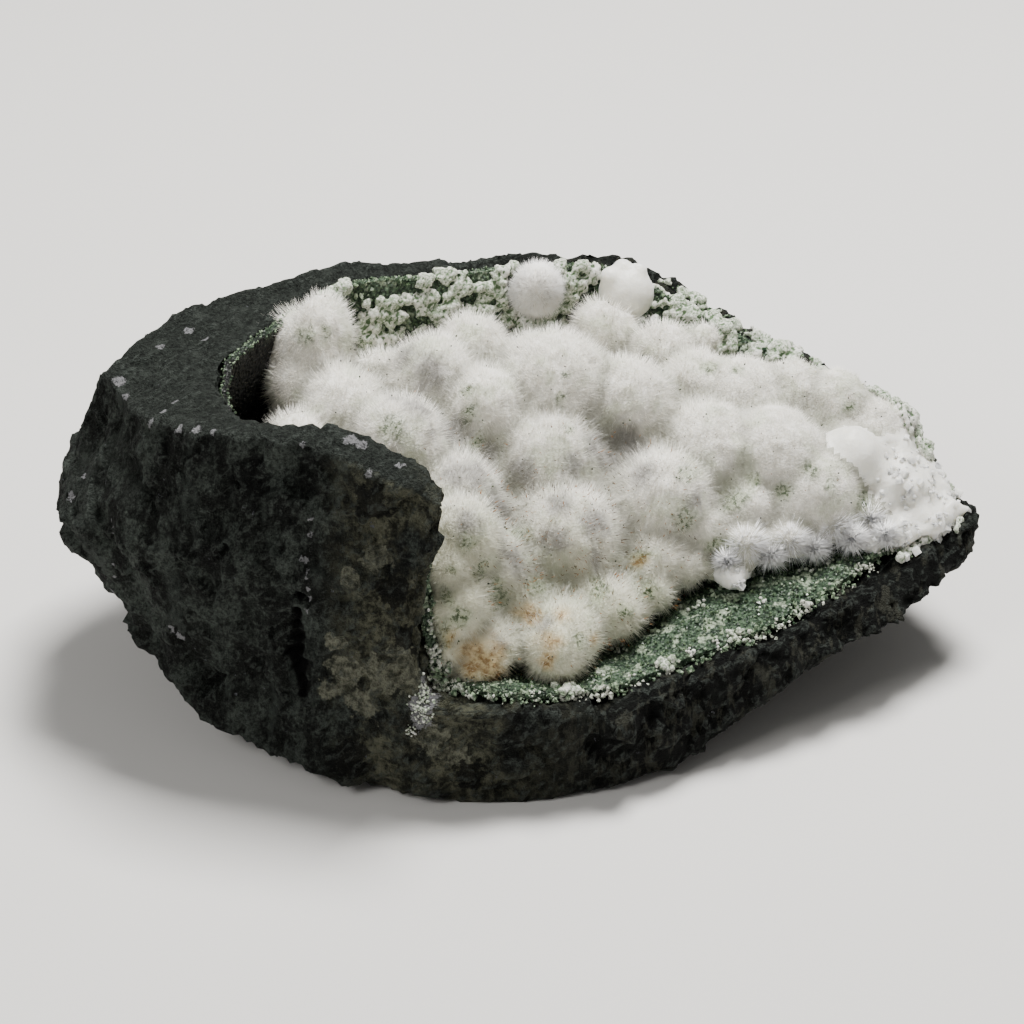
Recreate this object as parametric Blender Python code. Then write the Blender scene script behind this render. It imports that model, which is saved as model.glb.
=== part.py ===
"""Okenite puffballs in a broken basalt vug: host rock, druse lining and the puffs that grew in it.

Metres, +Z up. The origin is on the surface that the specimen rests on, under the middle of its box.
-Y is the low, open side of the hollow, and the high wall stands at -X. Tables are in millimetres.
"""

import math

import bmesh
import bpy
from mathutils import Vector, noise

MM = 0.001

# Outlines of the rock, each a closed loop round the vertical axis: (bearing in degrees, radius, height).
# Bearing 0 is +X and 270 is the open front. Between 251 and 258 degrees the wall breaks off.
OUTER_RIM = [
    (1, 96.5, 30.5), (6, 91, 34), (12, 88, 38), (18, 88, 42), (23, 82, 44), (27, 76, 47), (35, 68, 50),
    (43, 66, 53), (51, 62, 56), (61, 62, 60), (69, 61.5, 63), (78, 55, 65), (90, 49, 67), (103, 44, 69),
    (119, 43, 71), (139, 48, 73.5), (151, 51, 75), (162, 60, 75.5), (170, 68, 75), (178, 77, 72),
    (186, 84, 70), (192, 81, 69), (201, 77, 71), (209, 73, 74), (217, 68, 76), (226, 62, 76), (235, 58.5, 74),
    (245, 57.5, 70.5), (251, 59, 68), (258, 60, 25), (263, 61, 24), (270, 59, 22.5), (280, 58, 20.5),
    (290, 59, 20), (309, 57, 21), (322, 61, 22), (330, 64, 23), (344, 72, 25.5), (352, 81, 27), (357, 88, 28.5),
]
INNER_RIM = [
    (2, 90, 30.5), (7, 86, 33), (13, 82, 37), (17, 81, 41), (21, 78, 44), (25, 72, 46.5), (34, 64, 49.5),
    (42, 61, 52.5), (52, 57.5, 55.5), (61, 56.5, 59.5), (72, 56, 62.5), (80, 50.5, 64.5), (90, 44.5, 66),
    (110, 38, 69), (129, 39, 71), (145, 43.5, 72.5), (160, 47, 74), (171, 49, 74.5), (179, 52, 74.5),
    (185, 57, 74), (191, 61, 73.5), (198, 62.5, 73), (208, 64, 74), (216, 61.5, 75.5), (221, 57, 77),
    (230, 52.5, 77.5), (242, 50.5, 74), (251, 53.5, 69), (258, 55, 24.5), (263, 55.5, 23.5), (270, 54, 22),
    (279, 53, 20.5), (290, 52, 20), (307, 51, 20.5), (322, 56, 22), (334, 61, 23), (346, 68, 25),
    (354, 75, 26.5), (359, 83, 28.5),
]
BELLY = [
    (0, 95.5, 27), (13, 91.5, 28), (30, 81, 30), (52, 68, 35), (70, 65.5, 38), (90, 59.5, 40), (118, 59, 42),
    (144, 70, 44), (162, 86, 45), (176, 94.5, 43), (184, 95.3, 41), (198, 90, 45), (209, 82, 48),
    (220, 72, 50), (229, 66, 50), (242, 59.5, 48), (251, 58, 45), (258, 60, 17), (270, 60, 14),
    (292, 58.5, 13), (310, 58.5, 14), (330, 67, 17), (350, 83, 20),
]
UNDERCUT = [
    (0, 94, 23), (13, 86, 18), (30, 70, 13), (52, 61, 12), (75, 56, 13), (100, 54, 15), (125, 56, 17),
    (150, 70, 18), (170, 82, 22), (184, 86, 26), (200, 83, 19), (212, 75.5, 10), (225, 70, 5), (240, 65, 3.5),
    (256, 61, 4), (270, 60, 2), (292, 57, 2), (309, 57.5, 3.5), (322, 58.5, 7.5), (334, 63, 11),
    (344, 70, 14.5), (353, 81, 19),
]
FOOT = [
    (0, 50), (40, 44), (80, 38), (110, 37), (140, 44), (165, 55), (185, 57), (205, 57), (225, 59), (245, 58),
    (258, 58.5), (275, 57), (295, 52), (315, 47), (340, 47),
]

# Bearings where the high wall ends and where the low lip starts, and the columns between them.
WALL_END, LIP_START = 251.0, 258.0
WALL_END_STEPS = 5
# The broken end leans and overhangs: (height, how far it is moved along X there).
WALL_END_SHIFT = [(6, 0), (16, -3), (25, -6), (35, -6), (46, -5.4), (54, -1.5), (60, 2.1), (64, 1.5), (68, 4.2)]
WALL_END_REACH = 15.0
LIP_START_REACH = 9.0

COLUMN_PAIRS = 47
OUTER_STEPS = 4
RIM_SHARES = (0.36, 0.7)
INNER_FRACTIONS = (0.06, 0.16, 0.34, 0.62)
FLOOR_LOW = 13.0
FLOOR_RISE = 10.0
FLOOR_RISE_FROM, FLOOR_RISE_TO = 6.0, 48.0
# The dark pocket at the left: the wall is hollowed out below its rim there.
POCKET_BEARING, POCKET_SPREAD = 180.0, 42.0
POCKET_DEPTH = 9.0
RIM_ROUGH = 0.9
SKIN_ROUGH = 1.6
SKIN_GRAIN = 20.0
CHIP_SIZE = 15.0
CHIP_DEPTH = 3.2

# How far the crust stays below the rim, by bearing, as a share of the skin's first step down.
LINING_DROP = [(0, 0), (190, 0), (220, 0.4), (244, 0.5), (250, 0.85), (257, 0.85), (263, 0), (359, 0)]

# The lining and the puffs: gaps, thicknesses, and how far the puffs keep off the hollow's skin.
LINING_GAP = 0.5
LINING_THICK = 1.3
LINING_LUMP = 1.7
LINING_LUMP_SIZE = 5.5
PUFF_CLEARANCE = 3.9
BALL_CLEARANCE = 2.8
WALL_END_LAG = 3.0
HOLLOW_TOP = 110.0
NEIGHBOUR_GAP = 0.8

# The crevice in the front face: the ends of its line, its half width and how far it goes in.
CREVICE_TOP = (-47.5, -49.0, 37.0)
CREVICE_BOTTOM = (-44.0, -50.0, 18.0)
CREVICE_INWARD = (0.45, 0.9, 0.0)
CREVICE_HALF_WIDTH = 2.2
CREVICE_DEPTH = 7.0

# Puffs of the grown-together mass: (x, y, z, radius) of each ball out to its hair tips.
PUFFS = [
    (-43, 9, 69, 10.5), (-43, 6, 60, 10.5), (-36, -4, 59, 10), (-45, -15, 58, 7.5), (-24, -16, 59, 10.5),
    (-14, -22, 48, 11.5), (-8, -30, 37, 11.5), (-7, -44, 27.5, 8), (8, -38, 26.5, 9.5),
    (20, -25, 25, 9), (8, -18, 36, 14), (5, -4, 46, 13.5), (7, 9, 57, 13), (22, 8, 54, 10.5),
    (-18, 6, 61, 10), (-10, 20, 60, 8.5), (-8, 0, 57, 10), (29, -8, 40, 12), (27, -18, 32, 8),
    (38, 4, 44, 12), (30, 29, 54, 7.5), (36, 20, 50, 9.5), (39, 35, 54, 4.5), (18, 40, 53, 8.5),
    (46, 18, 48, 10.5), (57, 21, 48.5, 8), (66, 19, 48, 7.5), (74, 15, 44, 6.5), (52, 4, 43, 11.5),
    (61, -2, 38, 9.5), (68.5, 4, 44, 6), (77, 11, 39, 7), (78, 3, 35, 7), (86, 4, 32, 4.5),
    (46, -14, 33, 6), (55, -11, 32, 6), (64, -7, 33, 6), (72, -3, 32.5, 5), (43, -19, 28, 4),
    (-38, -26, 50, 9), (-27, -31, 42, 9), (-45, -2, 50, 8), (-28, 14, 54, 9), (2, 28, 50, 9),
    (-12, -36, 49, 9.5), (-13, -43, 38, 8.5), (-20, -30, 44, 9),
    (-13, -8, 50, 8), (-38, -15, 50, 8), (15, 27, 46, 8), (24, 30, 45, 8), (67, 11, 42, 6), (45, -7, 34, 6),
    (-2, -32, 30, 10), (16, -30, 27, 9),
]
# Each puff stands on a stem that reaches the floor: its radii as shares of the ball's.
STEM_TOP_SHARE, STEM_FOOT_SHARE = 0.9, 0.63
PUFF_VOXEL = 1.6
BUD_VOXEL = 0.6
PUFF_TRIANGLES = 3000
SMOOTH_BALL_TRIANGLES = 360

LONE_PUFF = (3.3, 39.5, 63, 6.6)
SMOOTH_BALL = (23, 47, 58.5, 6.2)
# Small bumps on the smooth ball, from its middle: (x, y, z, radius).
SMOOTH_BUDS = [(-3.6, -1.5, 4.2, 2.4), (-1.0, 0.5, 5.2, 2.2), (2.6, 0.2, 5.0, 2.0)]

BASALT_COLOUR = (0.045, 0.052, 0.048)
DRUSE_COLOUR = (0.16, 0.24, 0.16)
OKENITE_COLOUR = (0.82, 0.80, 0.75)
SMOOTH_COLOUR = (0.80, 0.79, 0.74)


def clear_scene():
    for obj in list(bpy.data.objects):
        bpy.data.objects.remove(obj)


def stone_material(name, colour, roughness):
    material = bpy.data.materials.new(name)
    material.use_nodes = True
    shader = material.node_tree.nodes["Principled BSDF"]
    shader.inputs["Base Color"].default_value = (*colour, 1.0)
    shader.inputs["Roughness"].default_value = roughness
    shader.inputs["Metallic"].default_value = 0.0
    return material


def outline_at(outline, bearing):
    """Radius, and height where the outline has one, at a bearing between two points of a closed outline."""
    points = sorted(outline)
    wrapped = [(points[-1][0] - 360, *points[-1][1:]), *points, (points[0][0] + 360, *points[0][1:])]
    for before, after in zip(wrapped, wrapped[1:]):
        if before[0] <= bearing <= after[0]:
            share = (bearing - before[0]) / (after[0] - before[0])
            return [a + (b - a) * share for a, b in zip(before[1:], after[1:])]
    raise ValueError(bearing)


def polar(bearing, radius, height):
    angle = math.radians(bearing)
    return Vector((radius * math.cos(angle), radius * math.sin(angle), height))


def column_bearings():
    """Bearings of the mesh's columns, evenly spread along the hollow's rim, with one more between each two."""
    walk = [LIP_START + n * 0.25 for n in range(int((WALL_END + 360 - LIP_START) / 0.25) + 1)]
    places = [polar(b, outline_at(INNER_RIM, b % 360)[0], 0.0) for b in walk]
    lengths = [0.0]
    for before, after in zip(places, places[1:]):
        lengths.append(lengths[-1] + (after - before).length)
    coarse = []
    for n in range(COLUMN_PAIRS):
        target = lengths[-1] * n / (COLUMN_PAIRS - 1)
        coarse.append(min(zip(walk, lengths), key=lambda pair: abs(pair[1] - target))[0])
    step = (LIP_START - WALL_END) / WALL_END_STEPS
    coarse += [WALL_END + 360 + step * n for n in range(1, WALL_END_STEPS)]
    bearings = []
    for before, after in zip(coarse, [*coarse[1:], LIP_START + 360]):
        bearings += [before, (before + after) / 2]
    return bearings


def noise_shift(place):
    """A smooth pseudo-random vector, each component between about -1 and 1."""
    return Vector([noise.noise(place + Vector((17.3 * axis, 5.1, 9.7 * axis))) for axis in range(3)])


def roughened(point, amount, grain):
    """The point moved by smooth noise, so that straight outlines break up like stone."""
    shift = noise_shift(point / grain) + 0.45 * noise_shift(point / (grain * 0.36))
    return point + shift * amount


def chip(point):
    """Height of flat chips on broken rock: each Voronoi cell is one tilted facet."""
    place = point / CHIP_SIZE
    nearest = noise.voronoi(place)[1][0]
    tilt = noise_shift(nearest * 3.1) * 1.6
    return CHIP_DEPTH * (tilt.dot(place - nearest) + 0.5 * noise.noise(nearest * 2.3))


def ramp(value, low, high):
    share = min(1.0, max(0.0, (value - low) / (high - low)))
    return share * share * (3.0 - 2.0 * share)


def leaned(point, bearing):
    """The point moved along X where it is near the wall's broken end, so that the end overhangs."""
    before = 1.0 - ramp(WALL_END - bearing % 360, 0.0, WALL_END_REACH)
    after = 1.0 - ramp(bearing % 360 - LIP_START, 0.0, LIP_START_REACH)
    level = min(max(point.z, WALL_END_SHIFT[0][0]), WALL_END_SHIFT[-1][0])
    for (low, first), (high, second) in zip(WALL_END_SHIFT, WALL_END_SHIFT[1:]):
        if low <= level <= high:
            distance = first + (second - first) * (level - low) / (high - low)
            return point + Vector((distance * min(before, after), 0.0, 0.0))
    return point


def rim_point(outline, bearing):
    return roughened(polar(bearing, *outline_at(outline, bearing % 360)), RIM_ROUGH, SKIN_GRAIN)


def rim_column(bearing):
    """Points across the broken top of the wall, from the outer rim towards the hollow."""
    outer, inner = rim_point(OUTER_RIM, bearing), rim_point(INNER_RIM, bearing)
    between = [outer.lerp(inner, share) for share in RIM_SHARES]
    wide = ramp((outer - inner).length, 6.0, 16.0)
    return [leaned(p + Vector((0.0, 0.0, chip(p) * 0.6 * wide)), bearing) for p in between]


def outer_column(bearing):
    """Points of the outer skin from the rim down to the foot, which lies flat."""
    knots = [polar(bearing, *outline_at(outline, bearing % 360)) for outline in (OUTER_RIM, BELLY, UNDERCUT)]
    points = []
    for upper, lower in zip(knots, knots[1:]):
        for step in range(OUTER_STEPS):
            points.append(upper.lerp(lower, step / OUTER_STEPS))
    points.append(knots[-1])
    outward = polar(bearing, 1.0, 0.0)
    column = [leaned(rim_point(OUTER_RIM, bearing), bearing)]
    for point in points[1:]:
        rough = roughened(point, SKIN_ROUGH, SKIN_GRAIN) + outward * chip(point)
        rough.z = max(rough.z, 0.6)
        column.append(leaned(rough, bearing))
    return [*column, polar(bearing, outline_at(FOOT, bearing % 360)[0], 0.0)]


def floor_level(x):
    """The hollow's floor rises from its deep left part to its shallow right end."""
    return FLOOR_LOW + FLOOR_RISE * ramp(x, FLOOR_RISE_FROM, FLOOR_RISE_TO)


def inner_column(bearing, lag=0.0):
    """Points of the hollow's skin from its rim down to the floor. A high wall drops steeply.
    With a lag, the wall's end reaches that many degrees further along the low lip.
    """
    beside_end = WALL_END <= bearing % 360 <= LIP_START + lag
    radius, height = outline_at(INNER_RIM, (bearing - lag if beside_end else bearing) % 360)
    rim = roughened(polar(bearing, radius, height), RIM_ROUGH, SKIN_GRAIN)
    steepness = 1.6 + max(0.0, rim.z - 20.0) / 11.0
    points = [leaned(rim, bearing)]
    deepening = POCKET_DEPTH * (1.0 - ramp(abs(bearing % 360 - POCKET_BEARING), 12.0, POCKET_SPREAD))
    for share in INNER_FRACTIONS:
        x, y = rim.x * (1.0 - share), rim.y * (1.0 - share)
        floor = floor_level(x)
        level = floor + (rim.z - floor) * (1.0 - share) ** steepness
        outward = polar(bearing, deepening * (1.0 - share) ** 2, 0.0)
        points.append(leaned(Vector((x, y, level)) + outward, bearing))
    return points


def grid_normals(grid, centre):
    """A normal at each point of a closed ring grid, pointing up and into the hollow."""
    columns, rows = len(grid), len(grid[0])
    normals = []
    for c in range(columns):
        normals.append([])
        for r in range(rows):
            around = grid[(c + 1) % columns][r] - grid[c - 1][r]
            below = grid[c][r + 1] if r + 1 < rows else centre
            above = grid[c][max(r - 1, 0)]
            normals[c].append(around.cross(below - above).normalized())
    return normals


def offset_grid(grid, centre, distance):
    """The hollow's skin moved into the hollow along its normals."""
    moved = []
    for column, normals in zip(grid, grid_normals(grid, centre)):
        moved.append([point + normal * distance for point, normal in zip(column, normals)])
    return moved, centre + Vector((0.0, 0.0, distance))


def drawn_in(point, distance):
    """The point moved towards the vertical axis and up, each by the same distance."""
    outward = Vector((point.x, point.y, 0.0)).normalized()
    return point + (Vector((0.0, 0.0, 1.0)) - outward) * distance


def add_ring(bm, points):
    return [bm.verts.new(p * MM) for p in points]


def strip(bm, upper, lower):
    """Triangles between two closed rings of as many points, each quad split the same way."""
    for n in range(len(upper)):
        after = (n + 1) % len(upper)
        bm.faces.new((upper[n], upper[after], lower[after]))
        bm.faces.new((upper[n], lower[after], lower[n]))


def halving_strip(bm, fine, coarse):
    """Triangles from a ring to one with every second point of it."""
    for n in range(len(coarse)):
        after = (n + 1) % len(coarse)
        left, middle, right = fine[2 * n], fine[2 * n + 1], fine[(2 * n + 2) % len(fine)]
        bm.faces.new((left, middle, coarse[n]))
        bm.faces.new((middle, coarse[after], coarse[n]))
        bm.faces.new((middle, right, coarse[after]))


def fan(bm, ring, centre):
    middle = bm.verts.new(centre * MM)
    for n in range(len(ring)):
        bm.faces.new((ring[n], ring[(n + 1) % len(ring)], middle))


def rings_of(grid):
    return [list(row) for row in zip(*grid)]


def finish_mesh(bm, name, material):
    bmesh.ops.recalc_face_normals(bm, faces=bm.faces)
    mesh = bpy.data.meshes.new(name)
    bm.to_mesh(mesh)
    bm.free()
    obj = bpy.data.objects.new(name, mesh)
    bpy.context.collection.objects.link(obj)
    if material:
        mesh.materials.append(material)
    return obj


def as_guide(obj):
    obj.hide_render = True
    obj.display_type = "WIRE"
    return obj


def hollow_skin():
    """The hollow's skin as a coarse grid of columns, with the middle of its floor."""
    return [inner_column(b) for b in column_bearings()[::2]], Vector((0.0, 0.0, floor_level(0.0)))


def make_rock():
    bm = bmesh.new()
    bearings = column_bearings()
    outer = rings_of([[*reversed(rim_column(b)), *outer_column(b)] for b in bearings])
    rings = [add_ring(bm, ring) for ring in outer]
    for upper, lower in zip(rings, rings[1:]):
        strip(bm, upper, lower)
    fan(bm, rings[-1], Vector((0.0, 0.0, 0.0)))
    grid, centre = hollow_skin()
    inner = [add_ring(bm, ring) for ring in rings_of(grid)]
    halving_strip(bm, rings[0], inner[0])
    for upper, lower in zip(inner, inner[1:]):
        strip(bm, upper, lower)
    fan(bm, inner[-1], centre)
    rock = finish_mesh(bm, "basalt_matrix", stone_material("basalt", BASALT_COLOUR, 0.85))
    cut = rock.modifiers.new("crevice", "BOOLEAN")
    cut.operation = "DIFFERENCE"
    cut.object = make_crevice()


def make_crevice():
    """A wedge that is widest at the rock's face and low down, and comes to an edge inside."""
    top, bottom = Vector(CREVICE_TOP), Vector(CREVICE_BOTTOM)
    inward = Vector(CREVICE_INWARD).normalized()
    side = Vector((CREVICE_HALF_WIDTH, 0.0, 0.0))
    bm = bmesh.new()
    mouth = [top - side * 0.25, bottom - side, bottom + side, top + side * 0.25]
    ring = add_ring(bm, [p - inward * CREVICE_DEPTH for p in mouth])
    edge = add_ring(bm, [top + inward * CREVICE_DEPTH * 0.4, bottom + inward * CREVICE_DEPTH])
    bm.faces.new(ring)
    bm.faces.new((ring[0], edge[0], edge[1], ring[1]))
    bm.faces.new((ring[2], edge[1], edge[0], ring[3]))
    bm.faces.new((ring[0], ring[3], edge[0]))
    bm.faces.new((ring[1], edge[1], ring[2]))
    return as_guide(finish_mesh(bm, "crevice_cutter", None))


def make_lining():
    """The druse crust: its back follows the hollow's skin and its face carries lumps."""
    skin, centre = hollow_skin()
    for column, bearing in zip(skin, column_bearings()[::2]):
        column[0] = column[0].lerp(column[1], outline_at(LINING_DROP, bearing % 360)[0])
    bm = bmesh.new()
    back, back_centre = offset_grid(skin, centre, LINING_GAP)
    back_rings = [add_ring(bm, ring) for ring in rings_of(back)]
    for upper, lower in zip(back_rings, back_rings[1:]):
        strip(bm, upper, lower)
    fan(bm, back_rings[-1], back_centre)
    face, face_centre = offset_grid(skin, centre, LINING_GAP + LINING_THICK)
    fine = refined(face)
    lumpy = []
    for column, normals in zip(fine, grid_normals(fine, face_centre)):
        lumpy.append([p + n * lump_height(p) for p, n in zip(column, normals)])
    for column, flat in zip(lumpy, fine):
        column[0] = flat[0]
    face_rings = [add_ring(bm, ring) for ring in rings_of(lumpy)]
    for upper, lower in zip(face_rings, face_rings[1:]):
        strip(bm, upper, lower)
    fan(bm, face_rings[-1], face_centre)
    halving_strip(bm, face_rings[0], back_rings[0])
    finish_mesh(bm, "druse_lining", stone_material("druse", DRUSE_COLOUR, 0.6))


def refined(grid):
    """The same grid with a point added between neighbours both ways."""
    columns = []
    for c, column in enumerate(grid):
        after = grid[(c + 1) % len(grid)]
        columns += [column, [a.lerp(b, 0.5) for a, b in zip(column, after)]]
    fine = []
    for column in columns:
        fine.append([])
        for a, b in zip(column, column[1:]):
            fine[-1] += [a, a.lerp(b, 0.5)]
        fine[-1].append(column[-1])
    return fine


def lump_height(point):
    """Height of the bead at a point, highest in the middle of each Voronoi cell."""
    nearest = noise.voronoi(point / LINING_LUMP_SIZE)[0][0]
    return LINING_LUMP * max(0.0, 1.0 - nearest * 1.3)


def make_hollow_space(name, clearance):
    """The space that puffs may fill: everything over the lining, up past the rim."""
    bearings = [LIP_START, LIP_START + WALL_END_LAG * 1.1, *column_bearings()[2::2]]
    skin = [inner_column(b, WALL_END_LAG) for b in bearings]
    centre = Vector((0.0, 0.0, floor_level(0.0)))
    grid = [[drawn_in(p, clearance) for p in column] for column in skin]
    bm = bmesh.new()
    rings = [add_ring(bm, ring) for ring in rings_of(grid)]
    top = add_ring(bm, [Vector((c[0].x, c[0].y, HOLLOW_TOP)) for c in grid])
    for upper, lower in zip([top, *rings], rings):
        strip(bm, upper, lower)
    fan(bm, rings[-1], centre + Vector((0.0, 0.0, clearance)))
    fan(bm, top, Vector((0.0, 0.0, HOLLOW_TOP)))
    return as_guide(finish_mesh(bm, name, None))


def add_ball(bm, x, y, z, radius, divisions=4):
    made = bmesh.ops.create_icosphere(bm, subdivisions=divisions, radius=radius * MM)
    bmesh.ops.translate(bm, verts=made["verts"], vec=Vector((x, y, z)) * MM)


def add_stem(bm, x, y, z, radius):
    """A tapering column from a ball's middle down into the floor, so that no ball hangs in the air."""
    made = bmesh.ops.create_cone(
        bm, cap_ends=True, segments=16, radius1=radius * STEM_FOOT_SHARE * MM,
        radius2=radius * STEM_TOP_SHARE * MM, depth=z * MM,
    )
    bmesh.ops.translate(bm, verts=made["verts"], vec=Vector((x, y, z / 2)) * MM)


def triangle_count(obj):
    graph = bpy.context.evaluated_depsgraph_get()
    mesh = obj.evaluated_get(graph).to_mesh()
    mesh.calc_loop_triangles()
    return len(mesh.loop_triangles)


def keep_inside(obj, space):
    cut = obj.modifiers.new("inside_the_hollow", "BOOLEAN")
    cut.operation = "INTERSECT"
    cut.object = space


def fuse(obj, voxel):
    """Joins overlapping balls in one skin."""
    joined = obj.modifiers.new("grown_together", "REMESH")
    joined.mode = "VOXEL"
    joined.voxel_size = voxel * MM


def thin(obj, triangles):
    facets = obj.modifiers.new("facets", "DECIMATE")
    facets.use_collapse_triangulate = True
    facets.ratio = triangles / triangle_count(obj)


def make_puffs(space):
    bm = bmesh.new()
    for puff in PUFFS:
        add_ball(bm, *puff)
        add_stem(bm, *puff)
    puffs = finish_mesh(bm, "okenite_puffs", stone_material("okenite", OKENITE_COLOUR, 0.9))
    fuse(puffs, PUFF_VOXEL)
    thin(puffs, PUFF_TRIANGLES)
    keep_inside(puffs, space)
    dent = puffs.modifiers.new("room_for_the_smooth_ball", "BOOLEAN")
    dent.operation = "DIFFERENCE"
    dent.object = make_smooth_ball_room()


def make_smooth_ball_room():
    bm = bmesh.new()
    x, y, z, radius = SMOOTH_BALL
    add_ball(bm, x, y, z, radius + NEIGHBOUR_GAP)
    return as_guide(finish_mesh(bm, "smooth_ball_room", None))


def make_lone_puff(space):
    bm = bmesh.new()
    add_ball(bm, *LONE_PUFF, divisions=3)
    ball = finish_mesh(bm, "lone_puff", stone_material("okenite_ball", OKENITE_COLOUR, 0.9))
    keep_inside(ball, space)


def make_smooth_ball(space):
    bm = bmesh.new()
    x, y, z, radius = SMOOTH_BALL
    add_ball(bm, x, y, z, radius)
    for dx, dy, dz, bud in SMOOTH_BUDS:
        add_ball(bm, x + dx, y + dy, z + dz, bud)
    ball = finish_mesh(bm, "smooth_ball", stone_material("smooth_mineral", SMOOTH_COLOUR, 0.4))
    fuse(ball, BUD_VOXEL)
    thin(ball, SMOOTH_BALL_TRIANGLES)
    keep_inside(ball, space)


def main():
    clear_scene()
    make_rock()
    make_lining()
    make_puffs(make_hollow_space("space_for_the_mass", PUFF_CLEARANCE))
    by_the_wall = make_hollow_space("space_by_the_wall", BALL_CLEARANCE)
    make_lone_puff(by_the_wall)
    make_smooth_ball(by_the_wall)


main()
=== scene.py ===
"""Looks of an okenite specimen: white fuzzy puffs in half a hollow of dark basalt.

Lengths are in millimetres and turn into metres where a mesh is made. +X runs along the rock,
from the high wall to the low thin end, the open front faces -Y, and the rock stands on Z = 0.
"""

import math

import bmesh
import bpy
import numpy as np
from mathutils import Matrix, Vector, noise
from mathutils.bvhtree import BVHTree
from mathutils.kdtree import KDTree


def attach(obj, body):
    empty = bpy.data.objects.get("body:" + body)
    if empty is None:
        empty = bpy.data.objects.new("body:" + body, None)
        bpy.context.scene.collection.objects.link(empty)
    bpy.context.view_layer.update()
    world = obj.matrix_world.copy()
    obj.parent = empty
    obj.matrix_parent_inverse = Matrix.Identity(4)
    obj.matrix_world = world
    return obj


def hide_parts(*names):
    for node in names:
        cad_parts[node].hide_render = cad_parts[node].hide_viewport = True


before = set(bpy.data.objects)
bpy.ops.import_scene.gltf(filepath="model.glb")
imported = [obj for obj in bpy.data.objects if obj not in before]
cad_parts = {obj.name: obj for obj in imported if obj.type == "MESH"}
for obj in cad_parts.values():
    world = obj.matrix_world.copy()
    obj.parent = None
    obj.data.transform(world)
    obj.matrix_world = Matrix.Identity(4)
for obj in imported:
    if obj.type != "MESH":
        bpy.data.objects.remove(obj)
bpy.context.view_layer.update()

MM = 0.001
SEED = 7

# The camera stands where the photograph's did: 32 degrees up, 0.205 mm to a pixel at the target.
CAMERA_RISE = math.radians(32.0)
CAMERA_DISTANCE = 800.0
CAMERA_TARGET = Vector((-1.6, -6.0, 36.0))
PIXEL = 0.205
IMAGE_SIZE = 1024
SENSOR = 36.0

# The balls of the fused puffs: x, y, z, radius. The same table shapes the solid.
PUFFS = [
    (-43, 9, 69, 10.5), (-43, 6, 60, 10.5), (-36, -4, 59, 10), (-45, -15, 58, 7.5), (-24, -16, 59, 10.5),
    (-14, -22, 48, 11.5), (-8, -30, 37, 11.5), (-7, -44, 27.5, 8), (8, -38, 26.5, 9.5),
    (20, -25, 25, 9), (8, -18, 36, 14), (5, -4, 46, 13.5), (7, 9, 57, 13), (22, 8, 54, 10.5),
    (-18, 6, 61, 10), (-10, 20, 60, 8.5), (-8, 0, 57, 10), (29, -8, 40, 12), (27, -18, 32, 8),
    (38, 4, 44, 12), (30, 29, 54, 7.5), (36, 20, 50, 9.5), (39, 35, 54, 4.5), (18, 40, 53, 8.5),
    (46, 18, 48, 10.5), (57, 21, 48.5, 8), (66, 19, 48, 7.5), (74, 15, 44, 6.5), (52, 4, 43, 11.5),
    (61, -2, 38, 9.5),
    (-38, -26, 50, 9), (-27, -31, 42, 9), (-45, -2, 50, 8), (-28, 14, 54, 9), (2, 28, 50, 9),
    (-12, -36, 49, 9.5), (-13, -43, 38, 8.5), (-20, -30, 44, 9),
    (-13, -8, 50, 8), (-38, -15, 50, 8), (15, 27, 46, 8), (24, 30, 45, 8), (67, 11, 42, 6), (45, -7, 34, 6),
    (-2, -32, 30, 10), (16, -30, 27, 9),
]
GLASSY = [(68.5, 4, 44, 6)]
MILKY = [(77, 11, 39, 7), (78, 3, 35, 7), (86, 4, 32, 4.5), (43, -19, 28, 4)]
SPRAYS = [(46, -14, 33, 6), (55, -11, 32, 6), (64, -7, 33, 6), (72, -3, 32.5, 5)]
# More of them in front of the fluff, as the photograph shows: bright fans low on the right.
LOW_SPRAYS = [
    (51, -14, 30.5, 4.5), (60, -11, 30.5, 4.5), (68, -8.5, 31, 4.5), (42, -17, 31, 4), (75, -7, 31, 4),
]
LONE_PUFF = (3.3, 39.5, 63, 6.6)
# Fluff that closes gaps between the balls: by the wall's broken end, low in front, over the sprays.
FLUFF = [
    (-14.5, -42, 46, 6.5), (-14, -44.5, 38, 6.5), (-13.5, -45, 30, 6), (-14.5, -46.5, 25.5, 4.5),
    (-8, -47, 25.5, 6), (7, -42, 26.5, 8.3), (20, -31, 27, 6), (27, -24, 28, 5.5), (33, -17, 30, 6),
    (37, -12, 35.5, 6.5), (47, -7.5, 38, 5.8), (56, -5.5, 37.5, 5.8), (65, -2, 37, 5.2),
    (-45.5, 8, 67.5, 8.6), (-45.5, 3, 62, 8), (-14, -47.5, 30, 4.5), (-14, -46.5, 35, 4.8),
]
# Lumps of the crust on the rim at the far right, and the milky growth that runs down to the tip.
RIM_LUMPS = [(78.5, 17, 43.3, 5), (73, 21.5, 45.2, 4), (83, 13.5, 39, 3.2)]
MILKY_FOOT = [
    (81, 3, 35.5, 5.5), (84, -2, 30.5, 4.5), (89, 1.5, 31, 3.4), (92.3, 2.5, 30.4, 2.2), (87, 7, 33.5, 3.4),
    (78, -5, 30.5, 4.2), (72, -7, 29.5, 3.6), (83.5, 8, 36, 4),
]

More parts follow.
